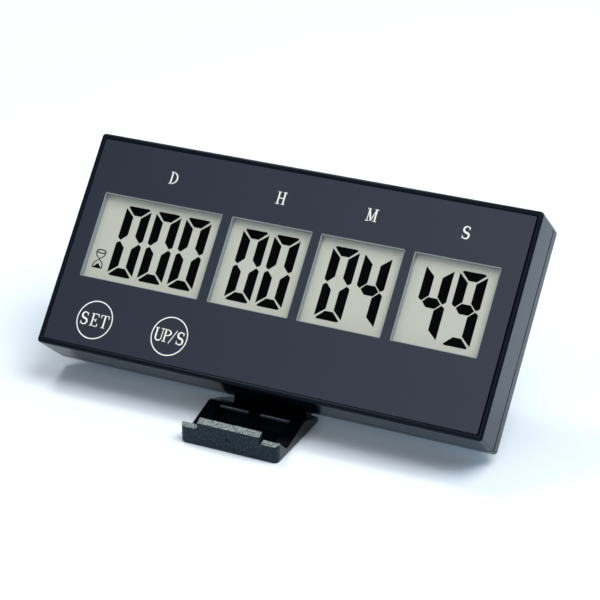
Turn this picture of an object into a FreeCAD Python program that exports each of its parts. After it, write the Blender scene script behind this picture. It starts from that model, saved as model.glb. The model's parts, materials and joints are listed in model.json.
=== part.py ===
"""Digital countdown clock on a small tilting stand.

The clock is drawn in its own frame: x to the right, y up the face, z out of the face, with the origin at the
centre of the front rim. The stand is drawn in the frame of its foot: x to the right, s backwards along the
underside from the front of the lip, h upwards. Both are then set down in the part's frame, +Z up and the face
towards -Y, with the stand's underside on Z = 0 and the clock leaning back.
"""
import FreeCAD
import Part
import math
import os

os.makedirs("parts", exist_ok=True)
V = FreeCAD.Vector

# ---------------------------------------------------------------- driving dimensions (mm, degrees)
# case
WIDTH = 133.0
HEIGHT = 63.0
DEPTH = 16.5
LEAN = 40.6              # how far the face leans back from upright
WALL = 1.8
CORNER_R = 1.0           # corners of the case, seen from the front
EDGE_R = 0.7             # front and rear edges
SEAM_DEPTH = 12.3        # from the rim to the seam between front case and rear cover
SEAM_CHAMFER = 0.4
COVER_STEP = 0.05        # how far the rear cover's sides sit in from the front case's
SPIGOT = 1.0             # depth and thickness of the rear cover's locating wall
SPIGOT_GAP = 0.1         # between it and the front case
BACK_T = 2.0             # rear cover's back plate

# panel
RIM = 1.5                # rim round the panel
RIM_INNER_R = 0.5        # rounding of its inner edge
PANEL_GAP = 0.12         # groove between rim and panel
PANEL_SINK = 0.15        # panel's face below the rim
PANEL_T = 1.5
PANEL_CORNER_R = 0.5
TAPE_T = 0.15
TAPE_INSET = 0.3
TAPE_MARGIN = 0.2        # how far its opening sits outside the display's
FRONT_WALL_T = 1.3       # inner wall that carries the panel
WINDOWS_X = ((-59.75, -22.6), (-19.6, 4.8), (7.5, 32.0), (34.8, 59.3))
WINDOWS_Y = (-10.5, 14.5)
WINDOW_CORNER_R = 0.35

# display
GLASS_T = 0.55           # each of its two glasses
GLASS_SINK = 0.15        # glass below the panel's tape
GLASS_HX = 61.0
GLASS_Y = (-13.8, 18.6)
GLASS_GAP = 0.4
LEDGE = 3.2              # contact ledge along the front glass's upper edge
REFLECTOR_T = 0.15
HOLDER_WEB = 0.7
HOLDER_WALL = 1.1
HOLDER_GAP = 0.2         # round the glass and the connector strip
HOLDER_HX = 62.6
HOLDER_Y = (-15.0, 19.8)
STRIP_HX = 57.0          # elastomer connector
STRIP_Y = (15.9, 18.1)

# board
BOARD_FRONT = -6.5
BOARD_T = 1.6
BOARD_HX = 62.5
BOARD_HY = 28.2
BOARD_BAY_GAP = (0.5, 0.6)      # in x and y, between the board and the battery bay
BOARD_SCREWS = ((-48.0, 24.6), (0.0, 24.6), (48.0, 24.6), (-39.1, -25.5), (4.0, -24.0))
CASE_SCREWS = ((-61.2, 26.2), (61.2, 26.2), (-61.2, -26.2), (8.5, -18.2))
BOSS_R = 2.6
BOSS_GAP = 0.15          # round a boss in the rear cover
BOARD_BOSS_GAP = 0.5     # round a boss in the board's edge
SCREW_R = 0.85
PILOT_R = 0.9
PILOT_END = 0.5          # from a screw's tip to the end of its hole
CLEAR_R = 1.1
HEAD_R = 1.9
HEAD_T = 1.0
HEAD_EDGE_R = 0.3
HEAD_GAP = 0.3
HEAD_SINK = 1.1          # depth of the counterbores in the back
CROSS_HALF = (1.1, 0.25) # half length and half width of a screw's cross slots
CROSS_DEPTH = 0.55
TOUCH_KEYS_X = (-50.9, -27.3)
TOUCH_KEYS_Y = -22.1
TOUCH_HOLE_R = 5.0
TOUCH_PAD_R = 4.5
TOUCH_PAD_BORE_R = 2.5
BLOB = (-6.0, 2.0)
BLOB_R = 4.5
BLOB_H = 1.4
CRYSTAL = (8.0, 9.0)     # where its leads enter the can
CRYSTAL_R = 1.0
CRYSTAL_LENGTH = 6.0
LEAD_LENGTH = 2.5
LEAD_Y = 0.5             # each lead's distance from the can's axis
LEAD_T = 0.3
CHIPS_X = (4.0, 8.0, 12.0)
CHIPS_Y = (-3.6, -2.4)
CHIP_LENGTH = 2.0
CHIP_H = 1.0
CAN = (24.0, 2.0)        # upright capacitor
CAN_R = 2.5
CAN_H = 5.0
BUZZER = (-38.0, 6.0)
BUZZER_R = 7.0
BUZZER_T = 3.8
BUZZER_PORT_R = 1.2
BUZZER_PORT_DEPTH = 1.5
SOUND_HOLE_R = 0.6
SOUND_RING_R = 3.0
SOUND_RING_HOLES = 6

# two AAA cells side by side
CELL_R = 5.1
CELL_LENGTH = 43.3       # without the nub
CELL_EDGE_R = 0.5
NUB_R = 1.9
NUB_LENGTH = 0.9
CELL_Z = -10.25
LOWER_CELL_Y = -23.55
UPPER_CELL_Y = -12.95
BAY_X = (16.0, 63.4)
BAY_Y = (-28.9, -7.6)
BAY_WALL = 0.75
BAY_FLOOR = -4.95
CONTACT_T = 0.4
CONTACT_HALF = 3.2
TAB_HALF = 1.2
TAB_LENGTH = 2.0         # how far a contact's tab lies over the board
TAB_GAP = 0.2
SPRING_WIRE_R = 0.3
SPRING_RADII = (2.9, 1.9)
SPRING_TURNS = 2.5
SPRING_START = 0.6 * SPRING_WIRE_R      # from its plate to the middle of its wire, so that the two join
SPRING_SLACK = 2.2 * SPRING_WIRE_R      # how much shorter than its gap the path of its wire is

# battery cover
DOOR_T = 1.0
DOOR_LEDGE = 0.5
DOOR_GAP = 0.25
DOOR_SEAT_GAP = 0.05
DOOR_CORNER_R = 0.8
NOTCH_HALF = 6.0         # finger notch beside the door's snap tab
NOTCH_X = 3.0
NOTCH_DEPTH = 1.3
NOTCH_CORNER_R = 1.0
SNAP_HALF = 4.0
SNAP_X = 1.8
SNAP_SINK = 0.1
SNAP_CORNER_R = 0.8
GRIPS = 5                # grooves for the thumb
GRIP_X = 3.0
GRIP_PITCH = 1.6
GRIP_WIDTH = 0.8
GRIP_HALF = 5.0
GRIP_DEPTH = 0.3

# hinge
PIN_Y = -28.5
PIN_Z = -16.9
PIN_R = 1.0
PIN_HX = 15.0
LUG_BORE_R = 1.02
BARREL_BORE_R = 1.05
BARREL_R = 3.0
BARREL_HX = 11.0
POCKET_R = 3.4
POCKET_WALL = 1.2
HOUSING_INSET = 1.0      # how far the wall round the hinge pocket stays inside the case
HOUSING_SEAM_GAP = 0.1
LUG_R = 2.6
LUG_X = (11.3, 15.2)
LUG_CLEAR_R = 3.8

# stand
STAND_HX = 14.5
FLOOR_T = 2.15
FOOT_BACK = 27.5         # where the full-width foot ends
FOOT_FRONT_R = 1.5
FOOT_BACK_R = 3.0
FOOT_EDGE_R = 0.6        # lower edges
RAMP_START = 7.0
CREST = ((15.6, 4.35), (16.8, 4.55), (17.9, 4.25))
HEEL = (27.0, 0.7)
RIB_HX = 1.75
SIDE_RAMP_X = 10.5       # inner face of the ramps along the sides
POCKET_BACK = 15.3
POCKET_BEVEL = 0.5       # bevel along the back edge of each pocket
POCKET_BEVEL_H = 3.85    # where it starts
LIP_T = 1.7
LIP_BAR_H = 4.2
GUSSET_BACK = 5.3        # foot of the sloping wall behind each end of the lip
GUSSET_T = 1.3
SIDE_TONGUE_X = 9.6
SIDE_TONGUE_H = (5.0, 5.5)
MID_TONGUE_X = 9.2
MID_TONGUE_H = (6.9, 7.8)
GATE_R = 0.9             # shallow mark left by the mould's gate on the lip's front
GATE_H = 3.7
GATE_DEPTH = 0.2
NECK_S = (25.1, 29.5)
TAIL_BACK = 49.5
TAIL_T = 1.8
TAIL_R = 4.0
PLAN_H = 10.0            # taller than anything on the foot

# cuts and joins
PAST = 1                 # how far a cut runs past the material
JOIN = 0.5               # how far a piece that is fused on reaches into what carries it

# ---------------------------------------------------------------- derived dimensions
HX = WIDTH / 2
HY = HEIGHT / 2
PANEL_FRONT = -PANEL_SINK
PANEL_BACK = PANEL_FRONT - PANEL_T
WALL_FRONT = PANEL_BACK - TAPE_T
WALL_BACK = WALL_FRONT - FRONT_WALL_T
GLASS_FRONT = WALL_FRONT - GLASS_SINK
GLASS_MID = GLASS_FRONT - GLASS_T
GLASS_BACK = GLASS_MID - GLASS_T
REFLECTOR_BACK = GLASS_BACK - REFLECTOR_T
HOLDER_BACK = REFLECTOR_BACK - HOLDER_WEB
BOARD_BACK = BOARD_FRONT - BOARD_T
INNER_BACK = -DEPTH + BACK_T
DOOR_SEAT = -DEPTH + DOOR_T + DOOR_SEAT_GAP
COVER_HX = HX - COVER_STEP
COVER_HY = HY - COVER_STEP
BOARD_EDGE_X = BAY_X[0] - BAY_WALL - BOARD_BAY_GAP[0]
BOARD_EDGE_Y = BAY_Y[1] + BAY_WALL + BOARD_BAY_GAP[1]

# The part's origin lies under the middle of its depth, which runs from the lip's front to the case's upper
# rear edge. The face's centre line meets the underside's frame at FACE_S, FACE_RISE.
FACE_S = 49.6
FACE_RISE = 0.64
SIN = math.sin(math.radians(LEAN))
COS = math.cos(math.radians(LEAN))


def foot_point(y, z):
    """The s and h of a point given by the clock's y and z."""
    s = (y + FACE_S) * SIN - (z - FACE_RISE) * COS
    h = (y + FACE_S) * COS + (z - FACE_RISE) * SIN
    return s, h


REAR_CORNER_R = EDGE_R
REAR_S = foot_point(COVER_HY - REAR_CORNER_R, -DEPTH + REAR_CORNER_R)[0] + REAR_CORNER_R
SHIFT = -REAR_S / 2
PIN_S, PIN_H = foot_point(PIN_Y, PIN_Z)
CLOCK_PLACE = FreeCAD.Placement(
    V(0, foot_point(0, 0)[0] + SHIFT, foot_point(0, 0)[1]), FreeCAD.Rotation(V(1, 0, 0), 90 - LEAN))
FOOT_PLACE = FreeCAD.Placement(V(0, SHIFT, 0), FreeCAD.Rotation())


# ---------------------------------------------------------------- shape helpers
def box(x, y, z):
    """Box between three pairs of limits."""
    return Part.makeBox(x[1] - x[0], y[1] - y[0], z[1] - z[0], V(x[0], y[0], z[0]))


def slab(hx, hy, z):
    """Box centred on the z axis."""
    return box((-hx, hx), (-hy, hy), z)


def rod(radius, start, end):
    """Cylinder from one point to another."""
    a = V(*start)
    along = V(*end) - a
    return Part.makeCylinder(radius, along.Length, a, along)


def post(radius, place, z):
    """Cylinder along z at an x, y place."""
    return rod(radius, (place[0], place[1], z[0]), (place[0], place[1], z[1]))


def edges_along(shape, axis, test=lambda centre: True):
    """Straight edges that run along an axis and whose centre passes the test."""
    found = []
    for edge in shape.Edges:
        if len(edge.Vertexes) == 2:
            run = edge.Vertexes[1].Point - edge.Vertexes[0].Point
            if abs(abs(run.normalize().dot(axis)) - 1) < 1e-6 and test(edge.CenterOfMass):
                found.append(edge)
    return found


def round_upright(shape, radius, test=lambda centre: True):
    """Rounds the edges that run along z."""
    return shape.makeFillet(radius, edges_along(shape, V(0, 0, 1), test))


def edges_at(shape, z):
    """Edges that lie wholly at one height."""
    return [e for e in shape.Edges if abs(e.BoundBox.ZMin - z) < 1e-4 and abs(e.BoundBox.ZMax - z) < 1e-4]


def prism(outline, x):
    """Solid between two x limits over a closed outline of edges in the s, h plane."""
    face = Part.Face(Part.Wire(outline))
    face.translate(V(x[0], 0, 0))
    return face.extrude(V(x[1] - x[0], 0, 0))


def polygon(points):
    """Edges of a closed polygon given as s, h points."""
    corners = [V(0, s, h) for s, h in points]
    return [Part.makeLine(a, b) for a, b in zip(corners, corners[1:] + corners[:1])]


def coil(place, axis, length, radii, wire_r, turns):
    """Conical wire spring that starts at a place and runs along an axis."""
    slope = math.degrees(math.atan2(radii[1] - radii[0], length))
    path = Part.makeHelix(length / turns, length, radii[0], slope)
    section = Part.Wire(Part.makeCircle(wire_r, V(radii[0], 0, 0), V(0, 1, 0)))
    spring = Part.Wire(path.Edges).makePipeShell([section], True, True)
    turn = FreeCAD.Rotation(V(0, 0, 1), axis)
    spring.Placement = FreeCAD.Placement(place, turn)
    return spring


def screw(place, head_z, tip_z):
    """Cross-head screw along z with the top of its head towards -z."""
    body = post(HEAD_R, place, (head_z, head_z + HEAD_T))
    body = body.makeFillet(HEAD_EDGE_R, edges_at(body, head_z))
    body = body.fuse(post(SCREW_R, place, (head_z + HEAD_T, tip_z)))
    for half in (CROSS_HALF, CROSS_HALF[::-1]):
        slot = slab(half[0], half[1], (head_z - PAST, head_z + CROSS_DEPTH))
        slot.translate(V(place[0], place[1], 0))
        body = body.cut(slot)
    return body


# ---------------------------------------------------------------- case
def front_case():
    shell = slab(HX, HY, (-SEAM_DEPTH, 0))
    shell = round_upright(shell, CORNER_R)
    shell = shell.makeFillet(EDGE_R, edges_at(shell, 0))
    shell = shell.makeChamfer(SEAM_CHAMFER, edges_at(shell, -SEAM_DEPTH))
    recess = round_upright(slab(HX - RIM, HY - RIM, (WALL_FRONT, PAST)), PANEL_CORNER_R)
    shell = shell.cut([recess, slab(HX - WALL, HY - WALL, (-SEAM_DEPTH - PAST, WALL_BACK))])
    shell = shell.makeFillet(RIM_INNER_R, rim_inner_edges(shell))
    display = box(
        (-GLASS_HX - GLASS_GAP, GLASS_HX + GLASS_GAP),
        (GLASS_Y[0] - GLASS_GAP, GLASS_Y[1] + GLASS_GAP),
        (WALL_BACK - PAST, PAST))
    keys = [post(TOUCH_HOLE_R, (x, TOUCH_KEYS_Y), (WALL_BACK - PAST, PAST)) for x in TOUCH_KEYS_X]
    shell = shell.cut([display] + keys)
    bosses = [post(BOSS_R, p, (BOARD_FRONT, WALL_BACK + JOIN)) for p in BOARD_SCREWS]
    bosses += [post(BOSS_R, p, (INNER_BACK, WALL_BACK + JOIN)) for p in CASE_SCREWS]
    shell = shell.fuse(bosses)
    pilots = [post(PILOT_R, p, (INNER_BACK - PAST, WALL_BACK)) for p in BOARD_SCREWS + CASE_SCREWS]
    return shell.cut(pilots)


def rim_inner_edges(shell):
    """Edges at the front that lie round the panel's recess."""
    reach_x, reach_y = HX - RIM + 0.01, HY - RIM + 0.01
    edges = edges_at(shell, 0)
    return [e for e in edges if abs(e.CenterOfMass.x) < reach_x and abs(e.CenterOfMass.y) < reach_y]


def front_panel():
    plate = slab(HX - RIM - PANEL_GAP, HY - RIM - PANEL_GAP, (PANEL_BACK, PANEL_FRONT))
    plate = round_upright(plate, PANEL_CORNER_R)
    windows = [box(x, WINDOWS_Y, (PANEL_BACK - PAST, PAST)) for x in WINDOWS_X]
    return plate.cut([round_upright(window, WINDOW_CORNER_R) for window in windows])


def panel_tape():
    inset = RIM + PANEL_GAP + TAPE_INSET
    sheet = slab(HX - inset, HY - inset, (WALL_FRONT, PANEL_BACK))
    margin = GLASS_GAP + TAPE_MARGIN
    hole = box(
        (-GLASS_HX - margin, GLASS_HX + margin), (GLASS_Y[0] - margin, GLASS_Y[1] + margin),
        (WALL_FRONT - PAST, PAST))
    keys = [post(TOUCH_HOLE_R, (x, TOUCH_KEYS_Y), (WALL_FRONT - PAST, PAST)) for x in TOUCH_KEYS_X]
    return sheet.cut([hole] + keys)


def rear_cover():
    shell = round_upright(slab(COVER_HX, COVER_HY, (-DEPTH, -SEAM_DEPTH)), CORNER_R)
    shell = shell.makeFillet(REAR_CORNER_R, edges_at(shell, -DEPTH))
    shell = shell.makeChamfer(SEAM_CHAMFER, edges_at(shell, -SEAM_DEPTH))
    spigot_hx = HX - WALL - SPIGOT_GAP
    spigot_hy = HY - WALL - SPIGOT_GAP
    shell = shell.fuse(slab(spigot_hx, spigot_hy, (-SEAM_DEPTH - JOIN, -SEAM_DEPTH + SPIGOT)))
    shell = shell.cut(slab(spigot_hx - SPIGOT, spigot_hy - SPIGOT, (INNER_BACK, 0)))
    shell = shell.fuse([battery_bay(), hinge_housing()])
    for side in (-1, 1):
        ends = [(side * x, PIN_Y, PIN_Z) for x in LUG_X]
        shell = shell.fuse(rod(LUG_R, *ends))
    shell = shell.cut([
        box(BAY_X, BAY_Y, (-DEPTH - PAST, BAY_FLOOR)),
        door_recess(),
        rod(POCKET_R, (-LUG_X[0], PIN_Y, PIN_Z), (LUG_X[0], PIN_Y, PIN_Z)),
        rod(LUG_BORE_R, (-LUG_X[1] - PAST, PIN_Y, PIN_Z), (LUG_X[1] + PAST, PIN_Y, PIN_Z))])
    for y in (LOWER_CELL_Y, UPPER_CELL_Y):
        slot = box(
            (BAY_X[0] - BAY_WALL - TAB_GAP, BAY_X[0] + TAB_GAP),
            (y - TAB_HALF - TAB_GAP, y + TAB_HALF + TAB_GAP),
            (BOARD_BACK - CONTACT_T - TAB_GAP, BOARD_BACK + TAB_GAP))
        shell = shell.cut(slot)
    for place in CASE_SCREWS:
        shell = shell.cut([
            post(CLEAR_R, place, (-DEPTH - PAST, INNER_BACK + PAST)),
            post(HEAD_R + HEAD_GAP, place, (-DEPTH - PAST, -DEPTH + HEAD_SINK)),
            post(BOSS_R + BOSS_GAP, place, (INNER_BACK, 0))])
    return shell.cut(sound_holes())


def battery_bay():
    """Walls and floor of the bay, solid; the rear cover hollows it."""
    return box(
        (BAY_X[0] - BAY_WALL, BAY_X[1] + BAY_WALL), (BAY_Y[0] - BAY_WALL, BAY_Y[1] + BAY_WALL),
        (INNER_BACK - JOIN, BAY_FLOOR + BAY_WALL))


def hinge_housing():
    """Inner wall round the hinge pocket, kept inside the case."""
    reach = LUG_X[0] + POCKET_WALL
    tube = rod(POCKET_R + POCKET_WALL, (-reach, PIN_Y, PIN_Z), (reach, PIN_Y, PIN_Z))
    inside = box(
        (-reach, reach), (-COVER_HY + HOUSING_INSET, 0),
        (-DEPTH + HOUSING_INSET, -SEAM_DEPTH - HOUSING_SEAM_GAP))
    return tube.common(inside)


def door_recess():
    seat = round_upright(box(
        (BAY_X[0] - DOOR_LEDGE, BAY_X[1] + DOOR_LEDGE), (BAY_Y[0] - DOOR_LEDGE, BAY_Y[1] + DOOR_LEDGE),
        (-DEPTH - PAST, DOOR_SEAT)), DOOR_CORNER_R)
    middle = (BAY_Y[0] + BAY_Y[1]) / 2
    notch = box(
        (BAY_X[0] - DOOR_LEDGE - NOTCH_X, BAY_X[0]), (middle - NOTCH_HALF, middle + NOTCH_HALF),
        (-DEPTH - PAST, -DEPTH + NOTCH_DEPTH))
    return seat.fuse(round_upright(notch, NOTCH_CORNER_R, lambda c: c.x < BAY_X[0] - 1))


def sound_holes():
    through = (-DEPTH - PAST, INNER_BACK + PAST)
    holes = [post(SOUND_HOLE_R, BUZZER, through)]
    for step in range(SOUND_RING_HOLES):
        angle = math.radians(360 / SOUND_RING_HOLES * step)
        place = (BUZZER[0] + SOUND_RING_R * math.cos(angle), BUZZER[1] + SOUND_RING_R * math.sin(angle))
        holes.append(post(SOUND_HOLE_R, place, through))
    return holes


def battery_cover():
    edge = DOOR_LEDGE - DOOR_GAP
    door = round_upright(box(
        (BAY_X[0] - edge, BAY_X[1] + edge), (BAY_Y[0] - edge, BAY_Y[1] + edge),
        (-DEPTH, -DEPTH + DOOR_T)), DOOR_CORNER_R - DOOR_GAP)
    middle = (BAY_Y[0] + BAY_Y[1]) / 2
    tab = box(
        (BAY_X[0] - edge - SNAP_X, BAY_X[0]), (middle - SNAP_HALF, middle + SNAP_HALF),
        (-DEPTH + SNAP_SINK, -DEPTH + DOOR_T))
    door = door.fuse(round_upright(tab, SNAP_CORNER_R, lambda c: c.x < BAY_X[0] - edge - 0.5))
    groove_end = -DEPTH + GRIP_DEPTH
    grips_x = [BAY_X[0] + GRIP_X + GRIP_PITCH * step for step in range(GRIPS)]
    return door.cut([
        box((x, x + GRIP_WIDTH), (middle - GRIP_HALF, middle + GRIP_HALF), (-DEPTH - PAST, groove_end))
        for x in grips_x])


def hinge_pin():
    return rod(PIN_R, (-PIN_HX, PIN_Y, PIN_Z), (PIN_HX, PIN_Y, PIN_Z))


# ---------------------------------------------------------------- display
def lcd_front_glass():
    return box((-GLASS_HX, GLASS_HX), GLASS_Y, (GLASS_MID, GLASS_FRONT))


def lcd_rear_glass():
    return box((-GLASS_HX, GLASS_HX), (GLASS_Y[0], GLASS_Y[1] - LEDGE), (GLASS_BACK, GLASS_MID))


def lcd_reflector():
    return box((-GLASS_HX, GLASS_HX), (GLASS_Y[0], GLASS_Y[1] - LEDGE), (REFLECTOR_BACK, GLASS_BACK))


def lcd_holder():
    tray = box((-HOLDER_HX, HOLDER_HX), HOLDER_Y, (HOLDER_BACK, WALL_BACK))
    to_board = (BOARD_FRONT, HOLDER_BACK)
    board_end = BOARD_EDGE_X - BOARD_BAY_GAP[0]
    walls = [
        box((-HOLDER_HX, HOLDER_HX), (HOLDER_Y[1] - HOLDER_WALL, HOLDER_Y[1]), to_board),
        box((-HOLDER_HX, board_end), (HOLDER_Y[0], HOLDER_Y[0] + HOLDER_WALL), to_board),
        box((-HOLDER_HX, HOLDER_WALL - HOLDER_HX), HOLDER_Y, to_board),
        box((HOLDER_HX - HOLDER_WALL, HOLDER_HX), (BOARD_EDGE_Y, HOLDER_Y[1]), to_board)]
    tray = tray.fuse(walls)
    pocket = box(
        (-GLASS_HX - HOLDER_GAP, GLASS_HX + HOLDER_GAP),
        (GLASS_Y[0] - HOLDER_GAP, GLASS_Y[1] - LEDGE + HOLDER_GAP),
        (REFLECTOR_BACK, 0))
    slot = box(
        (-STRIP_HX - HOLDER_GAP, STRIP_HX + HOLDER_GAP),
        (STRIP_Y[0] - HOLDER_GAP, STRIP_Y[1] + HOLDER_GAP),
        (HOLDER_BACK - HOLDER_GAP, 0))
    return tray.cut([pocket, slot])


def connector_strip():
    return box((-STRIP_HX, STRIP_HX), STRIP_Y, (BOARD_FRONT, GLASS_MID))


# ---------------------------------------------------------------- board and what is on it
def main_board():
    board = slab(BOARD_HX, BOARD_HY, (BOARD_BACK, BOARD_FRONT))
    bay = box((BOARD_EDGE_X, BOARD_HX + PAST), (-BOARD_HY - PAST, BOARD_EDGE_Y), (BOARD_BACK - PAST, 0))
    notches = [post(BOSS_R + BOARD_BOSS_GAP, p, (BOARD_BACK - PAST, 0)) for p in CASE_SCREWS]
    holes = [post(CLEAR_R, p, (BOARD_BACK - PAST, 0)) for p in BOARD_SCREWS]
    return board.cut([bay] + notches + holes)


def controller_blob():
    """Flat dome of epoxy: the cap of a ball."""
    ball_r = (BLOB_R ** 2 + BLOB_H ** 2) / (2 * BLOB_H)
    ball = Part.makeSphere(ball_r, V(*BLOB, BOARD_BACK - BLOB_H + ball_r))
    return ball.common(post(BLOB_R + PAST, BLOB, (BOARD_BACK - BLOB_H - PAST, BOARD_BACK)))


def quartz_crystal():
    x, y = CRYSTAL
    axis_z = BOARD_BACK - CRYSTAL_R
    can = rod(CRYSTAL_R, (x, y, axis_z), (x + CRYSTAL_LENGTH, y, axis_z))
    leads = [
        box(
            (x - LEAD_LENGTH, x), (lead_y - LEAD_T / 2, lead_y + LEAD_T / 2),
            (BOARD_BACK - LEAD_T, BOARD_BACK))
        for lead_y in (y - LEAD_Y, y + LEAD_Y)]
    return Part.makeCompound([can] + leads)


def capacitors():
    chips = [box((x, x + CHIP_LENGTH), CHIPS_Y, (BOARD_BACK - CHIP_H, BOARD_BACK)) for x in CHIPS_X]
    can = post(CAN_R, CAN, (BOARD_BACK - CAN_H, BOARD_BACK))
    return Part.makeCompound(chips + [can])


def buzzer():
    body = post(BUZZER_R, BUZZER, (BOARD_BACK - BUZZER_T, BOARD_BACK))
    port = (BOARD_BACK - BUZZER_T - PAST, BOARD_BACK - BUZZER_T + BUZZER_PORT_DEPTH)
    return body.cut(post(BUZZER_PORT_R, BUZZER, port))


def touch_pad(x):
    """Ring of conductive foam from the board to the back of the panel."""
    height = (BOARD_FRONT, PANEL_BACK)
    ring = post(TOUCH_PAD_R, (x, TOUCH_KEYS_Y), height)
    return ring.cut(post(TOUCH_PAD_BORE_R, (x, TOUCH_KEYS_Y), (BOARD_FRONT - PAST, 0)))


def board_screws():
    tip = WALL_BACK - PILOT_END
    return Part.makeCompound([screw(p, BOARD_BACK - HEAD_T, tip) for p in BOARD_SCREWS])


def case_screws():
    head = -DEPTH + HEAD_SINK - HEAD_T
    return Part.makeCompound([screw(p, head, BOARD_BACK) for p in CASE_SCREWS])


# ---------------------------------------------------------------- cells and contacts
def cell(y, nub_x, nub_side):
    """AAA cell along x whose nub ends at nub_x and points to nub_side."""
    shoulder = nub_x - nub_side * NUB_LENGTH
    can = rod(CELL_R, (shoulder - nub_side * CELL_LENGTH, y, CELL_Z), (shoulder, y, CELL_Z))
    can = can.makeFillet(CELL_EDGE_R, [e for e in can.Edges if e.Closed])
    return can.fuse(rod(NUB_R, (shoulder - nub_side, y, CELL_Z), (nub_x, y, CELL_Z)))


def lower_battery_cell():
    return cell(LOWER_CELL_Y, BAY_X[0] + CONTACT_T, -1)


def upper_battery_cell():
    return cell(UPPER_CELL_Y, BAY_X[1] - CONTACT_T, 1)


def end_plate(x, y):
    return box(x, y, (CELL_Z - CONTACT_HALF, CELL_Z + CONTACT_HALF))


def board_contact(y):
    """Plate at the bay's left end with a tab that reaches over the board."""
    plate = end_plate((BAY_X[0], BAY_X[0] + CONTACT_T), (y - CONTACT_HALF, y + CONTACT_HALF))
    tab = box(
        (BOARD_EDGE_X - TAB_LENGTH, BAY_X[0] + CONTACT_T), (y - TAB_HALF, y + TAB_HALF),
        (BOARD_BACK - CONTACT_T, BOARD_BACK))
    return plate.fuse(tab)


def cell_spring(x, y, side, gap):
    """Conical spring from an end plate's face towards the cell's base."""
    start = V(x + side * SPRING_START, y, CELL_Z)
    return coil(start, V(side, 0, 0), gap - SPRING_SLACK, SPRING_RADII, SPRING_WIRE_R, SPRING_TURNS)


def battery_positive_contact():
    return board_contact(LOWER_CELL_Y)


def battery_negative_spring():
    face = BAY_X[0] + CONTACT_T
    gap = BAY_X[1] - CONTACT_T - NUB_LENGTH - CELL_LENGTH - face
    return board_contact(UPPER_CELL_Y).fuse(cell_spring(face, UPPER_CELL_Y, 1, gap))


def battery_bridge_contact():
    face = BAY_X[1] - CONTACT_T
    gap = face - (BAY_X[0] + CONTACT_T + NUB_LENGTH + CELL_LENGTH)
    plate = end_plate((face, BAY_X[1]), (LOWER_CELL_Y - CONTACT_HALF, UPPER_CELL_Y + CONTACT_HALF))
    return plate.fuse(cell_spring(face, LOWER_CELL_Y, -1, gap))


# ---------------------------------------------------------------- stand
def foot():
    """Full-width plate: flat floor, ramps up to a crest, and a slope down to the heel."""
    crest = [V(0, s, h) for s, h in CREST]
    outline = [
        Part.makeLine(V(0, 0, 0), V(0, FOOT_BACK, 0)),
        Part.makeLine(V(0, FOOT_BACK, 0), V(0, *HEEL)),
        Part.makeLine(V(0, *HEEL), crest[2]),
        Part.Arc(crest[2], crest[1], crest[0]).toShape(),
        Part.makeLine(crest[0], V(0, RAMP_START, FLOOR_T)),
        Part.makeLine(V(0, RAMP_START, FLOOR_T), V(0, 0, FLOOR_T)),
        Part.makeLine(V(0, 0, FLOOR_T), V(0, 0, 0))]
    plate = prism(outline, (-STAND_HX, STAND_HX))
    top = MID_TONGUE_H[1]
    bevel_back = POCKET_BACK + POCKET_BEVEL
    section = [
        (LIP_T, FLOOR_T), (POCKET_BACK, FLOOR_T), (POCKET_BACK, POCKET_BEVEL_H),
        (bevel_back, POCKET_BEVEL_H + POCKET_BEVEL), (bevel_back, top), (LIP_T, top)]
    pockets = [prism(polygon(section), x) for x in ((-SIDE_RAMP_X, -RIB_HX), (RIB_HX, SIDE_RAMP_X))]
    return plate.cut(pockets)


def tongue(x, heights):
    """Part of the lip between two x limits, its top sloping up to the back."""
    return prism(polygon([(0, 0), (LIP_T, 0), (LIP_T, heights[1]), (0, heights[0])]), x)


def front_lip():
    lip = box((-STAND_HX, STAND_HX), (0, LIP_T), (0, LIP_BAR_H))
    lip = lip.fuse([
        tongue((-STAND_HX, -SIDE_TONGUE_X), SIDE_TONGUE_H),
        tongue((-MID_TONGUE_X, MID_TONGUE_X), MID_TONGUE_H),
        tongue((SIDE_TONGUE_X, STAND_HX), SIDE_TONGUE_H)])
    slope = [(LIP_T, 0), (GUSSET_BACK, 0), (GUSSET_BACK, FLOOR_T), (LIP_T, SIDE_TONGUE_H[1])]
    lip = lip.fuse([
        prism(polygon(slope), x)
        for x in ((-STAND_HX, GUSSET_T - STAND_HX), (STAND_HX - GUSSET_T, STAND_HX))])
    return lip.cut(rod(GATE_R, (0, -PAST, GATE_H), (0, GATE_DEPTH, GATE_H)))


def stand():
    body = foot().fuse(front_lip())
    plan = box((-STAND_HX, STAND_HX), (0, FOOT_BACK), (0, PLAN_H))
    plan = round_upright(plan, FOOT_FRONT_R, lambda c: c.y < 1)
    plan = round_upright(plan, FOOT_BACK_R, lambda c: c.y > FOOT_BACK - 1)
    plan = plan.makeFillet(FOOT_EDGE_R, edges_at(plan, 0))
    body = body.common(plan)
    for side in (-1, 1):
        ends = [(side * x, PIN_S, PIN_H) for x in (BARREL_HX, STAND_HX + PAST)]
        body = body.cut(rod(LUG_CLEAR_R, *ends))
    tail = box((-BARREL_HX, BARREL_HX), (NECK_S[0], TAIL_BACK), (0, TAIL_T))
    tail = round_upright(tail, TAIL_R, lambda c: c.y > TAIL_BACK - 1)
    body = body.fuse([
        tail,
        box((-BARREL_HX, BARREL_HX), NECK_S, (0, PIN_H)),
        rod(BARREL_R, (-BARREL_HX, PIN_S, PIN_H), (BARREL_HX, PIN_S, PIN_H))])
    body = body.cut(rod(BARREL_BORE_R, (-STAND_HX, PIN_S, PIN_H), (STAND_HX, PIN_S, PIN_H)))
    return body.removeSplitter()


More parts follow.
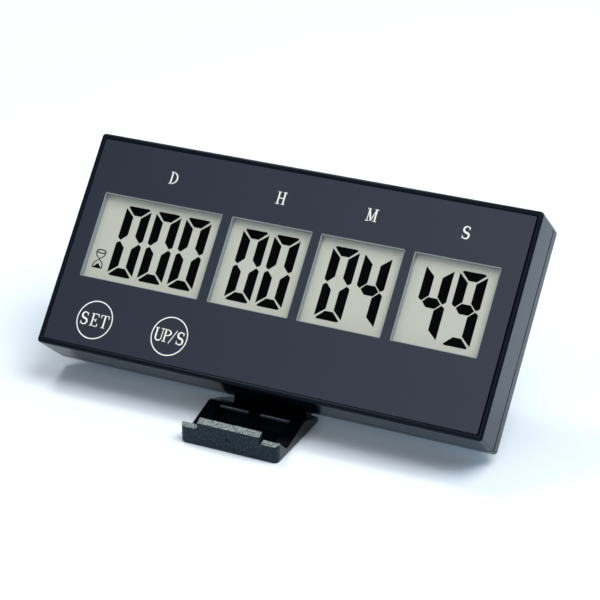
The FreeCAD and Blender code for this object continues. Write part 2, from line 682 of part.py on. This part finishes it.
# ---------------------------------------------------------------- write the pieces
CLOCK_PIECES = {
    "front_case": front_case,
    "front_panel": front_panel,
    "panel_tape": panel_tape,
    "lcd_front_glass": lcd_front_glass,
    "lcd_rear_glass": lcd_rear_glass,
    "lcd_reflector": lcd_reflector,
    "lcd_holder": lcd_holder,
    "connector_strip": connector_strip,
    "main_board": main_board,
    "controller_blob": controller_blob,
    "quartz_crystal": quartz_crystal,
    "capacitors": capacitors,
    "buzzer": buzzer,
    "set_touch_pad": lambda: touch_pad(TOUCH_KEYS_X[0]),
    "up_touch_pad": lambda: touch_pad(TOUCH_KEYS_X[1]),
    "lower_battery_cell": lower_battery_cell,
    "upper_battery_cell": upper_battery_cell,
    "battery_positive_contact": battery_positive_contact,
    "battery_negative_spring": battery_negative_spring,
    "battery_bridge_contact": battery_bridge_contact,
    "rear_cover": rear_cover,
    "case_screws": case_screws,
    "board_screws": board_screws,
    "hinge_pin": hinge_pin,
    "battery_cover": battery_cover,
}


def place(shape, placement):
    result = shape.copy()
    result.Placement = placement.multiply(result.Placement)
    return result


pieces = {name: place(make(), CLOCK_PLACE) for name, make in CLOCK_PIECES.items()}
pieces["stand"] = place(stand(), FOOT_PLACE)
bounds = FreeCAD.BoundBox()
for name, piece in pieces.items():
    piece.exportStep(f"parts/{name}.step")
    bounds.add(piece.BoundBox)
    print(f"{name:26s} solids {len(piece.Solids)}  valid {piece.isValid()}  volume {piece.Volume:9.2f} mm3")
print("box", [round(v, 2) for v in (
    bounds.XMin, bounds.YMin, bounds.ZMin, bounds.XMax, bounds.YMax, bounds.ZMax)])
print("hinge axis at Y, Z", round(PIN_S + SHIFT, 4), round(PIN_H, 4))
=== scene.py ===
"""Looks of the countdown clock: segments, printed legends, window edges, materials, light and camera.

Everything on the face is drawn in millimetres in the clock's own frame: x to the right, y up the face and
z out of it, with the origin at the centre of the panel's front.
"""
import bpy
import json
import math
from mathutils import Matrix, Vector


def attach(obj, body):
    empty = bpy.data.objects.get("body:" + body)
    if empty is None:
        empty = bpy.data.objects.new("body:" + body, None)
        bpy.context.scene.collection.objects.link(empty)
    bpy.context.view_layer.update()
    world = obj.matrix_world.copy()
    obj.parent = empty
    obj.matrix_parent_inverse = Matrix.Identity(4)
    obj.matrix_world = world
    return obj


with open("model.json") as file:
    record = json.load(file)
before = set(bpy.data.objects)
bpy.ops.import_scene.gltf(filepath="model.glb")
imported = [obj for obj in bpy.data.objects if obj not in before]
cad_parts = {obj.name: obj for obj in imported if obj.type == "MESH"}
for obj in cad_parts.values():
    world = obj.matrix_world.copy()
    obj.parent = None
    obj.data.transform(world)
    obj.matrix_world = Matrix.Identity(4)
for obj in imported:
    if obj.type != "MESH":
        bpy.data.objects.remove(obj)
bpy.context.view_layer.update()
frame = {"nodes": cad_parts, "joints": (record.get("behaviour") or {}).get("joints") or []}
MM = 0.001

# ---------------------------------------------------------------- the clock's frame, from the model
cover_joint = next(joint for joint in frame["joints"] if joint["name"] == "cover_snap")
OUT = -Vector(cover_joint["axis"]).normalized()
RIGHT = Vector((1, 0, 0))
UP = OUT.cross(RIGHT)
BACK = Vector((0, 1, 0))
SKY = Vector((0, 0, 1))


def reach(node, axis):
    """Lowest and highest place of a node along an axis, in metres."""
    along = [vertex.co.dot(axis) for vertex in frame["nodes"][node].data.vertices]
    return min(along), max(along)


def middle(node, axis):
    return sum(reach(node, axis)) / 2


PANEL_FRONT = reach("front_panel", OUT)[1]
FACE_ORIGIN = RIGHT * middle("front_panel", RIGHT) + UP * middle("front_panel", UP) + OUT * PANEL_FRONT
FACE = Matrix.Translation(FACE_ORIGIN) @ Matrix((RIGHT, UP, OUT)).transposed().to_4x4()
GLASS_Z = (reach("lcd_front_glass", OUT)[1] - PANEL_FRONT) / MM
PANEL_EDGE = 2          # points this near the panel's ends belong to its outline, not to a window
WINDOW_END_WIDTH = 1    # the points at one end of a window lie closer together than this in x


def on_face(point):
    """A point of the model in the clock's frame, in millimetres."""
    return FACE.inverted() @ point / MM


def read_windows():
    """Limits of the panel's windows in x and y, from the points at their corners."""
    points = [on_face(vertex.co) for vertex in frame["nodes"]["front_panel"].data.vertices]
    outer = max(point.x for point in points)
    points = [point for point in points if abs(point.x) < outer - PANEL_EDGE]
    groups = [[]]
    for x in sorted(point.x for point in points):
        if groups[-1] and x - groups[-1][-1] > WINDOW_END_WIDTH:
            groups.append([])
        groups[-1].append(x)
    limits_x = [(left[0], right[-1]) for left, right in zip(groups[::2], groups[1::2])]
    limits_y = (min(point.y for point in points), max(point.y for point in points))
    return limits_x, limits_y


def key_centre(pad):
    """Place on the face of the touch pad behind a key."""
    return on_face(RIGHT * middle(pad, RIGHT) + UP * middle(pad, UP)).xy


WINDOWS_X, WINDOWS_Y = read_windows()

# ---------------------------------------------------------------- what is on the face (mm)
READING = ("000", "00", "04", "49")
DIGIT_PITCH = 9.5
DIGIT_SHIFT = 0.22       # how far right of its window's middle a reading sits
DAYS_SHIFT = 1.93        # the same for the days, which leave room for the hourglass
DIGIT_Y = 1.97
DIGIT_HX = 3.95
DIGIT_HY = 10.33
STROKE = 2.75            # width of an upright segment
LEVEL_STROKE = 2.5       # width of the top and bottom ones
MITRE = 0.75             # how far a segment's cut end sits in from the digit's edge
UPRIGHT_CUT = 0.84 * STROKE     # rise of the cut at an upright's outer end
UPRIGHT_SLOPE = 0.62 * STROKE   # rise of the slope up to its tip
TIP = 0.18               # how far the uprights' tips stop from the digit's middle
TIP_IN = 0.25            # how far the tip sits in from the digit's edge
TIP_ROUND = (0.45, 0.75)        # rise of the tip's two blunted corners
LEVEL_END_IN = 0.35      # how far a level segment's outer edge stops short of the mitre
LEVEL_ROUND = ((0.05, 0.15), (0.1, 0.42))       # the blunted corner at its end, past the mitre and down
LEVEL_GAP = 0.05         # between its inner corner and the upright
MIDDLE_HX = 2.6          # middle segment
MIDDLE_FLAT_HX = 1.3     # its level edges
MIDDLE_HY = 1.4
SEGMENT_T = 0.04
HOURGLASS_X = 3.45       # from the window's left edge
HOURGLASS_Y = -4.4
HOURGLASS_H = 5.5
LETTER_RISE = 7.6        # from the windows' upper edge to the middle of the letters
LETTERS = (("D", 0.8), ("H", 0.4), ("M", 0.35), ("S", 0.2))     # and how far right of the middle
LETTER_H = 3.6
KEYS = {
    "set_touch_pad": (("S", -3.2), ("E", 0.0), ("T", 3.05)),
    "up_touch_pad": (("U", -3.25), ("P", -0.65), ("/", 1.1), ("S", 3.4))}
KEY_LETTER_H = 3.7
RING_R = 5.4
RING_LINE = 0.32
PRINT_T = 0.03
LINER_T = 0.2            # pale cut edge round each window, its paleness partly a painted reflection of the display
LINER_SINK = 0.02        # its top below the panel's face

# ---------------------------------------------------------------- on the stand (mm)
LIP_T = 1.7              # textured lip at the front
BEVEL_HIGHLIGHT_Z = 4.15      # height above the underside where the painted highlight on the pockets' bevels starts


# ---------------------------------------------------------------- mesh helpers
def solid_from_outlines(name, outlines, z, material):
    """Closed plate over each outline, a list of x, y points in the clock's frame, between two heights."""
    vertices, faces = [], []
    for outline in outlines:
        if signed_area(outline) < 0:
            outline = outline[::-1]
        start, count = len(vertices), len(outline)
        vertices += [(x, y, height) for height in z for x, y in outline]
        faces.append([start + i for i in reversed(range(count))])
        faces.append([start + count + i for i in range(count)])
        for i in range(count):
            after = (i + 1) % count
            faces.append([start + i, start + after, start + count + after, start + count + i])
    add_piece(name, vertices, faces, material)


def signed_area(outline):
    pairs = zip(outline, outline[1:] + outline[:1])
    return sum(x0 * y1 - x1 * y0 for (x0, y0), (x1, y1) in pairs) / 2


def add_piece(name, vertices, faces, material):
    """Piece that rides on the clock, from points in its frame."""
    mesh = bpy.data.meshes.new(name)
    mesh.from_pydata([FACE @ (Vector(v) * MM) for v in vertices], [], faces)
    mesh.validate()
    mesh.materials.append(material)
    piece = bpy.data.objects.new(name, mesh)
    bpy.context.scene.collection.objects.link(piece)
    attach(piece, "clock")


def band(path, widths):
    """Outline of a stroke along a path, as wide at each point as widths says."""
    left, right = [], []
    for i, (x, y) in enumerate(path):
        x0, y0 = path[max(i - 1, 0)]
        x1, y1 = path[min(i + 1, len(path) - 1)]
        reach_out = widths[i] / 2 / math.hypot(x1 - x0, y1 - y0)
        nx, ny = (y0 - y1) * reach_out, (x1 - x0) * reach_out
        left.append((x + nx, y + ny))
        right.append((x - nx, y - ny))
    return left + right[::-1]


def bar(x0, y0, x1, y1, width):
    return band([(x0, y0), (x1, y1)], [width, width])


def arc(centre, radii, degrees, steps=24):
    """Points along an ellipse's arc."""
    first, last = (math.radians(d) for d in degrees)
    angles = [first + (last - first) * i / steps for i in range(steps + 1)]
    return [(centre[0] + radii[0] * math.cos(a), centre[1] + radii[1] * math.sin(a)) for a in angles]


def swelling(count, thin, thick):
    """Widths that grow from thin at both ends to thick in the middle."""
    return [thin + (thick - thin) * math.sin(math.pi * i / (count - 1)) ** 2 for i in range(count)]


def ring(radius, width, steps=72):
    """A ring's line as two half bands."""
    halves = [arc((0, 0), (radius, radius), limits, steps // 2) for limits in ((0, 180), (180, 360))]
    return [band(half, [width] * len(half)) for half in halves]


# ---------------------------------------------------------------- letters, one unit high, drawn as strokes
STEM = 0.125             # widths of strokes
HAIR = 0.065
SERIF = 0.06
SERIF_HX = 0.15
SERIF_LOW = SERIF / 2    # middle heights of the serifs' strokes
SERIF_HIGH = 1 - SERIF / 2


def stem(x, width=STEM, low=0.0, foot=True):
    """Upright with a serif at its head, and one at its foot unless it runs into a bowl."""
    strokes = [bar(x, low, x, 1.0, width), bar(x - SERIF_HX, SERIF_HIGH, x + SERIF_HX, SERIF_HIGH, SERIF)]
    if foot:
        strokes.append(bar(x - SERIF_HX, SERIF_LOW, x + SERIF_HX, SERIF_LOW, SERIF))
    return strokes


def letter_d():
    bowl = arc((-0.17, 0.5), (0.46, 0.465), (90, -90))
    return stem(-0.2) + [band(bowl, swelling(len(bowl), SERIF, STEM))]


def letter_h():
    return stem(-0.23) + stem(0.23) + [bar(-0.23, 0.5, 0.23, 0.5, HAIR)]


def letter_m():
    return (stem(-0.3, HAIR) + stem(0.3)
            + [bar(-0.29, 0.98, -0.01, 0.06, STEM), bar(0.0, 0.06, 0.28, 0.98, HAIR)])


def letter_s():
    spine = arc((0, 0.735), (0.23, 0.23), (20, 245)) + arc((0, 0.265), (0.25, 0.23), (65, -160))
    return [
        band(spine, swelling(len(spine), HAIR, 0.15)),
        bar(0.225, 0.72, 0.225, 0.97, 0.045),
        bar(-0.245, 0.03, -0.245, 0.28, 0.045)]


def letter_e():
    arms = [bar(-0.2, y, x, y, SERIF) for x, y in ((0.26, SERIF_HIGH), (0.1, 0.5), (0.28, SERIF_LOW))]
    ticks = [bar(x, low, x, low + 0.24, SERIF) for x, low in ((0.27, 0.76), (0.1, 0.38), (0.29, 0.0))]
    return stem(-0.18) + arms + ticks


def letter_t():
    arm = bar(-0.33, SERIF_HIGH, 0.33, SERIF_HIGH, SERIF)
    ticks = [bar(x, 0.74, x, 1.0, SERIF) for x in (-0.32, 0.32)]
    return stem(0.0) + [arm] + ticks


def letter_u():
    bowl = arc((0.02, 0.28), (0.24, 0.245), (180, 360))
    widths = [STEM + (HAIR - STEM) * i / (len(bowl) - 1) for i in range(len(bowl))]
    return stem(-0.22, low=0.27, foot=False) + stem(0.26, HAIR, low=0.27, foot=False) + [band(bowl, widths)]


def letter_p():
    bowl = arc((-0.13, 0.735), (0.38, 0.23), (90, -90))
    return stem(-0.18) + [band(bowl, swelling(len(bowl), SERIF, STEM))]


def slash():
    return [bar(-0.24, -0.03, 0.24, 1.03, HAIR)]


GLYPHS = {
    "D": letter_d, "H": letter_h, "M": letter_m, "S": letter_s, "E": letter_e, "T": letter_t, "U": letter_u,
    "P": letter_p, "/": slash}


def moved(outlines, centre, scale):
    """Outlines scaled about the middle of their unit height and set at a place."""
    place_x, place_y = centre
    return [[(place_x + x * scale, place_y + (y - 0.5) * scale) for x, y in line] for line in outlines]


# ---------------------------------------------------------------- display segments
def upright_segment(side, half):
    """One of the four uprights: side is -1 or 1 for left or right, half is -1 or 1 for lower or upper."""
    inner = DIGIT_HX - STROKE
    tip_x = DIGIT_HX - TIP_IN
    points = [
        (DIGIT_HX, DIGIT_HY - MITRE), (inner, DIGIT_HY - MITRE - UPRIGHT_CUT), (inner, TIP + UPRIGHT_SLOPE),
        (tip_x - MITRE, TIP), (tip_x, TIP + TIP_ROUND[0]), (DIGIT_HX, TIP + TIP_ROUND[1])]
    return [(side * x, half * y) for x, y in points]


def level_segment(half):
    """The top or bottom bar."""
    end = DIGIT_HX - MITRE
    points = [(end - LEVEL_END_IN, DIGIT_HY)]
    points += [(end + past, DIGIT_HY - down) for past, down in LEVEL_ROUND]
    points.append((DIGIT_HX - STROKE - LEVEL_GAP, DIGIT_HY - LEVEL_STROKE))
    return [(x, half * y) for x, y in points] + [(-x, half * y) for x, y in reversed(points)]


def middle_segment():
    upper = [(MIDDLE_HX, 0), (MIDDLE_FLAT_HX, MIDDLE_HY), (-MIDDLE_FLAT_HX, MIDDLE_HY)]
    return upper + [(-x, -y) for x, y in upper]


SEGMENTS = {
    "top": level_segment(1), "bottom": level_segment(-1), "middle": middle_segment(),
    "upper_left": upright_segment(-1, 1), "upper_right": upright_segment(1, 1),
    "lower_left": upright_segment(-1, -1), "lower_right": upright_segment(1, -1)}
LIT = {
    "0": ("top", "bottom", "upper_left", "upper_right", "lower_left", "lower_right"),
    "4": ("middle", "upper_left", "upper_right", "lower_right"),
    "9": ("top", "bottom", "middle", "upper_left", "upper_right", "lower_right")}


def digit_outlines(character, x):
    return [[(x + px, DIGIT_Y + py) for px, py in SEGMENTS[name]] for name in LIT[character]]


def hourglass_outlines():
    """Sand timer mark, one unit high: an oval lid, two bulbs, a base and a heap of sand."""
    line = 0.055
    side = [
        (0.25, 0.92), (0.25, 0.76), (0.19, 0.64), (-0.02, 0.49), (0.21, 0.31), (0.26, 0.2), (0.26, 0.04)]
    lid = [arc((0, 0.9), (0.26, 0.09), limits, 12) for limits in ((0, 180), (180, 360))]
    strokes = [band(half, [line] * len(half)) for half in lid]
    strokes += [band([(sign * x, y) for x, y in side], [line] * len(side)) for sign in (-1, 1)]
    strokes.append(bar(-0.28, 0.03, 0.28, 0.03, 0.06))
    strokes.append([(-0.2, 0.06), (0.2, 0.06), (0.07, 0.2), (0.0, 0.27), (-0.07, 0.2)])
    return strokes


# ---------------------------------------------------------------- material helpers
DRIFT_SCALE = 60         # of the slow drift in a plastic's colour
GLOSS_SCALE = 220        # of its uneven gloss
GLOSS_SPREAD = (0.85, 1.2)      # least and most roughness, as shares of the named one
SHEEN_FACING = (0.3, 0.7)      # where a surface starts to count as facing the front or back, and where it fully does, losing the side walls' painted sheen
# facings at which the stand's painted highlight starts and is full: upwards, and towards the front on the
# bevels
TOP_HIGHLIGHT_FACING = (0.6, 0.8)
BEVEL_HIGHLIGHT_FACING = (0.5, 0.65)
LIP_FADE = 0.1           # mm over which the lip's texture ends
BEVEL_HIGHLIGHT_FADE = 0.05   # mm either way from the line where the bevels' painted highlight starts
METAL_SHADE = 0.85       # a metal's darkest colour, as a share of its own


def new_material(name):
    """Material and its principled shader."""
    material = bpy.data.materials.new(name)
    material.use_nodes = True
    return material, material.node_tree.nodes["Principled BSDF"]


def add_node(material, kind, inputs=None, **settings):
    node = material.node_tree.nodes.new(kind)
    for key, value in settings.items():
        setattr(node, key, value)
    for key, value in (inputs or {}).items():
        if isinstance(value, bpy.types.NodeSocket):
            material.node_tree.links.new(value, node.inputs[key])
        else:
            node.inputs[key].default_value = value
    return node


def noise(material, scale, detail=3.0, roughness=0.55):
    place = add_node(material, "ShaderNodeTexCoord").outputs["Object"]
    node = add_node(material, "ShaderNodeTexNoise", {
        "Vector": place, "Scale": scale, "Detail": detail, "Roughness": roughness})
    return node.outputs["Fac"]


def blend(material, factor, low, high, edges=(0.0, 1.0)):
    """Colour or grey that runs from low to high as a factor goes from one edge to the other."""
    ramp = add_node(material, "ShaderNodeValToRGB", {"Fac": factor})
    for element, colour, place in zip(ramp.color_ramp.elements, (low, high), edges):
        element.color = as_colour(colour)
        element.position = place
    return ramp.outputs["Color"]


def as_colour(value):
    return (value, value, value, 1) if isinstance(value, (int, float)) else (*value, 1)


def link(material, **sockets):
    """Links outputs to the shader's base colour, roughness and normal."""
    shader = material.node_tree.nodes["Principled BSDF"]
    for name, output in sockets.items():
        material.node_tree.links.new(output, shader.inputs[name.replace("_", " ").title()])


def skin(material, depth, height):
    """Normal of a surface with a relief of a depth in metres."""
    bump = add_node(material, "ShaderNodeBump", {"Strength": 1.0, "Distance": depth, "Height": height})
    return bump.outputs["Normal"]


def moulded(name, colour, lighter, roughness, texture_scale, texture_depth, specular=0.5):
    """Moulded plastic: a colour that drifts a little, uneven gloss and a fine skin texture."""
    material, shader = new_material(name)
    dull, dullest = (min(1.0, roughness * share) for share in GLOSS_SPREAD)
    link(
        material,
        base_color=blend(material, noise(material, DRIFT_SCALE), colour, lighter),
        roughness=blend(material, noise(material, GLOSS_SCALE), dull, dullest),
        normal=skin(material, texture_depth, noise(material, texture_scale, 5.0)))
    shader.inputs["Specular IOR Level"].default_value = specular
    return material


def ramp_along(material, source, axis, low, high, results=(0.0, 1.0)):
    """From one result to the other as a place or a direction goes from low to high along an axis."""
    along = add_node(material, "ShaderNodeVectorMath", {0: source, 1: axis}, operation="DOT_PRODUCT")
    return add_node(material, "ShaderNodeMapRange", {
        "Value": along.outputs["Value"], "From Min": low, "From Max": high,
        "To Min": results[0], "To Max": results[1]}).outputs["Result"]


def combine(material, operation, first, second):
    return add_node(material, "ShaderNodeMath", {0: first, 1: second}, operation=operation).outputs["Value"]


def mixed(material, factor, first, second):
    """First colour where the factor is 0 and second where it is 1."""
    mix = add_node(material, "ShaderNodeMix", {0: factor, 6: first, 7: second}, data_type="RGBA")
    return mix.outputs[2]


# ---------------------------------------------------------------- materials
def case_plastic(name):
    """Polished black plastic with a painted blue sheen on the side walls, which are a little lighter and
    bluer than the rim and the back.
    """
    material, shader = new_material(name)
    normal = add_node(material, "ShaderNodeTexCoord").outputs["Normal"]
    front, rear = (ramp_along(material, normal, side, *SHEEN_FACING) for side in (OUT, -OUT))
    drift = noise(material, DRIFT_SCALE)
    # painted sheen: the side walls are lighter and bluer to stand in for reflected light, while the rim and
    # the back keep the plain black
    wall_with_painted_sheen = blend(material, drift, (0.0025, 0.0055, 0.012), (0.0035, 0.0075, 0.016))
    rim = blend(material, drift, (0.0008, 0.0015, 0.003), (0.002, 0.003, 0.006))
    link(
        material,
        base_color=mixed(material, combine(material, "MAXIMUM", front, rear), wall_with_painted_sheen, rim),
        roughness=blend(material, noise(material, GLOSS_SCALE), 0.1, 0.15),
        normal=skin(material, 0.000002, noise(material, 900, 5.0)))
    shader.inputs["Specular IOR Level"].default_value = 0.15
    shader.inputs["Specular Tint"].default_value = (0.6, 0.8, 1.0, 1)
    return material


def lip_mask(material, place):
    """1 on the lip at the stand's front and 0 behind it."""
    lip_back = reach("stand", BACK)[0] + LIP_T * MM
    return ramp_along(material, place, BACK, lip_back + LIP_FADE * MM, lip_back)


def bevel_highlight_mask(material, place, normal):
    """1 on the upper part of the pockets' bevels, which face the front and upwards, where a highlight is
    painted.
    """
    low, high = BEVEL_HIGHLIGHT_Z - BEVEL_HIGHLIGHT_FADE, BEVEL_HIGHLIGHT_Z + BEVEL_HIGHLIGHT_FADE
    bevel = ramp_along(material, normal, -BACK, *BEVEL_HIGHLIGHT_FACING)
    return combine(material, "MULTIPLY", bevel, ramp_along(material, place, SKY, low * MM, high * MM))


def eroded(name):
    """Black plastic with a spark-eroded lip and smooth ramps, and a painted highlight on the lip's top and
    on the pockets' bevels.
    """
    material, shader = new_material(name)
    source = add_node(material, "ShaderNodeTexCoord")
    place, normal = source.outputs["Object"], source.outputs["Normal"]
    lip = lip_mask(material, place)
    # painted highlight: a pale colour on the upward faces of the lip and of the pockets' bevels, standing
    # in for overhead light
    upward_highlight = ramp_along(material, normal, SKY, *TOP_HIGHLIGHT_FACING)
    highlight_places = combine(material, "MAXIMUM", lip, bevel_highlight_mask(material, place, normal))
    painted_highlight = combine(material, "MULTIPLY", upward_highlight, highlight_places)
    grain = noise(material, 2200, 4.0, 0.7)
    dark = blend(material, grain, (0.001, 0.003, 0.006), (0.06, 0.11, 0.15), (0.54, 0.72))
    # colour of the painted highlight
    light = blend(material, grain, (0.02, 0.03, 0.03), (0.34, 0.38, 0.36), (0.38, 0.62))
    smooth = as_colour((0.001, 0.0015, 0.003))
    link(
        material,
        base_color=mixed(material, painted_highlight, mixed(material, lip, smooth, dark), light),
        roughness=blend(material, lip, 0.12, 0.4),
        normal=skin(material, 0.0002, combine(material, "MULTIPLY", lip, grain)))
    shader.inputs["Specular IOR Level"].default_value = 0.3
    shader.inputs["Specular Tint"].default_value = (0.6, 0.82, 1.0, 1)
    return material


def metal(name, colour, roughness):
    """Bare metal whose colour varies in fine grains."""
    material, shader = new_material(name)
    darker = [channel * METAL_SHADE for channel in colour]
    link(material, base_color=blend(material, noise(material, 900, 4.0), darker, colour))
    shader.inputs["Metallic"].default_value = 1.0
    shader.inputs["Roughness"].default_value = roughness
    return material


CASE = case_plastic("case_black")
PANEL = moulded("panel_dark", (0.003, 0.006, 0.018), (0.005, 0.009, 0.023), 0.2, 500, 0.000002)
COVER = moulded("cover_black", (0.008, 0.008, 0.010), (0.014, 0.014, 0.017), 0.42, 2400, 0.00004)
STAND = eroded("stand_black")
DISPLAY = moulded("display_grey", (0.43, 0.435, 0.365), (0.47, 0.475, 0.40), 0.35, 1500, 0.000002)
SEGMENT = moulded("segment_black", (0.0015, 0.0015, 0.0018), (0.003, 0.003, 0.003), 0.6, 900, 0.000002, 0.0)
PRINT = moulded("legend_print", (0.80, 0.78, 0.68), (0.86, 0.84, 0.75), 0.55, 3000, 0.000003)
# pale cut edge of the panel, partly the acrylic's own edge and partly a painted reflection of the display
# on the window walls
EDGE_AND_REFLECTION = moulded("window_edge_and_reflection", (0.22, 0.24, 0.24), (0.27, 0.29, 0.285), 0.4, 900, 0.000003)
STEEL = metal("nickel_steel", (0.62, 0.62, 0.60), 0.3)
INNER = moulded("inner_black", (0.02, 0.02, 0.02), (0.035, 0.035, 0.035), 0.6, 1500, 0.00001)
PALE = moulded("pale_film", (0.55, 0.57, 0.53), (0.62, 0.64, 0.60), 0.6, 1200, 0.000003)
RUBBER = moulded("grey_elastomer", (0.10, 0.10, 0.11), (0.16, 0.16, 0.17), 0.8, 1500, 0.00003)
BOARD = moulded("solder_mask", (0.015, 0.11, 0.045), (0.03, 0.17, 0.08), 0.35, 700, 0.00001)
EPOXY = moulded("epoxy_black", (0.008, 0.008, 0.008), (0.02, 0.02, 0.02), 0.25, 500, 0.00003)
JACKET = moulded("cell_jacket", (0.03, 0.04, 0.07), (0.06, 0.07, 0.11), 0.3, 400, 0.000003)

NODE_MATERIALS = {
    CASE: ("front_case", "rear_cover"),
    PANEL: ("front_panel",),
    COVER: ("battery_cover",),
    STAND: ("stand",),
    DISPLAY: ("lcd_front_glass", "lcd_rear_glass"),
    PALE: ("lcd_reflector",),
    INNER: ("lcd_holder", "panel_tape"),
    RUBBER: ("connector_strip", "set_touch_pad", "up_touch_pad"),
    BOARD: ("main_board",),
    EPOXY: ("controller_blob", "capacitors", "buzzer"),
    JACKET: ("lower_battery_cell", "upper_battery_cell"),
    STEEL: (
        "quartz_crystal", "battery_positive_contact", "battery_negative_spring", "battery_bridge_contact",
        "case_screws", "board_screws", "hinge_pin")}


def dress_nodes():
    """Gives every node of the model its material."""
    for material, nodes in NODE_MATERIALS.items():
        for node in nodes:
            for material_slot in frame["nodes"][node].material_slots:
                material_slot.material = material


# ---------------------------------------------------------------- pieces on the face
def make_digits():
    height = (GLASS_Z, GLASS_Z + SEGMENT_T)
    for window, (reading, limits) in enumerate(zip(READING, WINDOWS_X), 1):
        shift = DAYS_SHIFT if window == 1 else DIGIT_SHIFT
        first = sum(limits) / 2 + shift - DIGIT_PITCH * (len(reading) - 1) / 2
        for place, character in enumerate(reading):
            outlines = digit_outlines(character, first + DIGIT_PITCH * place)
            solid_from_outlines(f"digit_{window}_{place + 1}", outlines, height, SEGMENT)
    sign = moved(hourglass_outlines(), (WINDOWS_X[0][0] + HOURGLASS_X, HOURGLASS_Y), HOURGLASS_H)
    solid_from_outlines("hourglass_mark", sign, height, SEGMENT)


def make_legends():
    height = (0, PRINT_T)
    for (character, shift), limits in zip(LETTERS, WINDOWS_X):
        place = (sum(limits) / 2 + shift, WINDOWS_Y[1] + LETTER_RISE)
        outlines = moved(GLYPHS[character](), place, LETTER_H)
        solid_from_outlines(f"legend_{character}", outlines, height, PRINT)
    for number, (pad, characters) in enumerate(KEYS.items(), 1):
        key_x, key_y = key_centre(pad)
        outlines = [[(key_x + x, key_y + y) for x, y in half] for half in ring(RING_R, RING_LINE)]
        for character, x in characters:
            outlines += moved(GLYPHS[character](), (key_x + x, key_y), KEY_LETTER_H)
        solid_from_outlines(f"key_print_{number}", outlines, height, PRINT)


def make_window_edges():
    """Pale cut edge of the panel's sheet round each window, down to the display, its paleness partly a
    painted reflection of the display.
    """
    z = (GLASS_Z, -LINER_SINK)
    y0, y1 = WINDOWS_Y
    for number, (x0, x1) in enumerate(WINDOWS_X, 1):
        inner_x0, inner_x1 = x0 + LINER_T, x1 - LINER_T
        strips = [
            (x0, y0, inner_x0, y1), (inner_x1, y0, x1, y1),
            (inner_x0, y0, inner_x1, y0 + LINER_T), (inner_x0, y1 - LINER_T, inner_x1, y1)]
        outlines = [[(a, b), (c, b), (c, d), (a, d)] for a, b, c, d in strips]
        solid_from_outlines(f"window_edge_and_reflection_{number}", outlines, z, EDGE_AND_REFLECTION)


# ---------------------------------------------------------------- floor, light and camera (m, degrees, W)
FLOOR_HALF = 4.0
BRIGHT_SIDE = Vector((0.05, -0.62, 0.78)).normalized()
GLOW_FROM = 0.75         # cosine of the angle from that side at which the studio starts to brighten
GLOW_LOW = 0.2           # its strength outside that angle
GLOW_HIGH = 1.65         # and right at that side
STUDIO_COLOUR = (0.86, 0.93, 1.0)
WHITE = (1, 1, 1)
COOL = (0.5, 0.76, 1.0)
SOFTBOXES = {            # place, size, power, colour
    "key": ((0.8, -0.1, 1.65), 1.1, 26, WHITE),
    "top": ((-0.55, 0.33, 1.25), 0.35, 5, WHITE),
    "side": ((1.3, 0.5, 0.7), 0.8, 8, COOL)}
CAMERA_AZIMUTH = 25.66
CAMERA_ELEVATION = 25.88
CAMERA_ROLL = -0.19
CAMERA_DISTANCE = 0.5691
CAMERA_AIM = (7.0, -4.8, 0.15)  # mm, in the clock's frame
SENSOR_WIDTH = 36.0      # mm
FOCAL_LENGTH = 127.2     # mm
NEAREST = 0.01


def make_floor():
    corners = [(x * FLOOR_HALF, y * FLOOR_HALF, 0) for x, y in ((-1, -1), (1, -1), (1, 1), (-1, 1))]
    mesh = bpy.data.meshes.new("floor")
    mesh.from_pydata(corners, [], [(0, 1, 2, 3)])
    floor = bpy.data.objects.new("floor", mesh)
    bpy.context.scene.collection.objects.link(floor)
    material, shader = new_material("floor_pale")
    link(material, base_color=blend(material, noise(material, 3), (0.79, 0.84, 0.89), (0.81, 0.86, 0.91)))
    shader.inputs["Roughness"].default_value = 0.9
    mesh.materials.append(material)


def make_world():
    """Pale studio: brightest above and in front, dim elsewhere."""
    world = bpy.data.worlds.new("studio")
    world.use_nodes = True
    direction = add_node(world, "ShaderNodeTexCoord").outputs["Generated"]
    strength = ramp_along(world, direction, BRIGHT_SIDE, GLOW_FROM, 1.0, (GLOW_LOW, GLOW_HIGH))
    background = world.node_tree.nodes["Background"]
    background.inputs["Color"].default_value = as_colour(STUDIO_COLOUR)
    world.node_tree.links.new(strength, background.inputs["Strength"])
    bpy.context.scene.world = world
    bpy.context.scene.view_settings.view_transform = "Standard"


def make_softbox(name, place, size, power, colour):
    """Square light aimed at the middle of the face."""
    data = bpy.data.lights.new(name, "AREA")
    data.size = size
    data.energy = power
    data.color = colour
    light = bpy.data.objects.new(name, data)
    light.location = place
    light.rotation_euler = (FACE_ORIGIN - Vector(place)).to_track_quat("-Z", "Y").to_euler()
    bpy.context.scene.collection.objects.link(light)


def make_camera():
    """Camera to the right of the clock and above it, aimed just below the middle of the face."""
    azimuth, elevation = math.radians(CAMERA_AZIMUTH), math.radians(CAMERA_ELEVATION)
    aim = FACE @ (Vector(CAMERA_AIM) * MM)
    level = math.cos(elevation)
    back = Vector((math.sin(azimuth) * level, -math.cos(azimuth) * level, math.sin(elevation)))
    data = bpy.data.cameras.new("camera")
    data.lens = FOCAL_LENGTH
    data.sensor_width = SENSOR_WIDTH
    data.clip_start = NEAREST
    camera = bpy.data.objects.new("camera", data)
    camera.location = aim + back * CAMERA_DISTANCE
    camera.rotation_euler = (-back).to_track_quat("-Z", "Y").to_euler()
    camera.rotation_euler.rotate_axis("Z", math.radians(CAMERA_ROLL))
    bpy.context.scene.collection.objects.link(camera)
    bpy.context.scene.camera = camera


dress_nodes()
make_digits()
make_legends()
make_window_edges()
make_floor()
make_world()
for name, settings in SOFTBOXES.items():
    make_softbox(name, *settings)
make_camera()
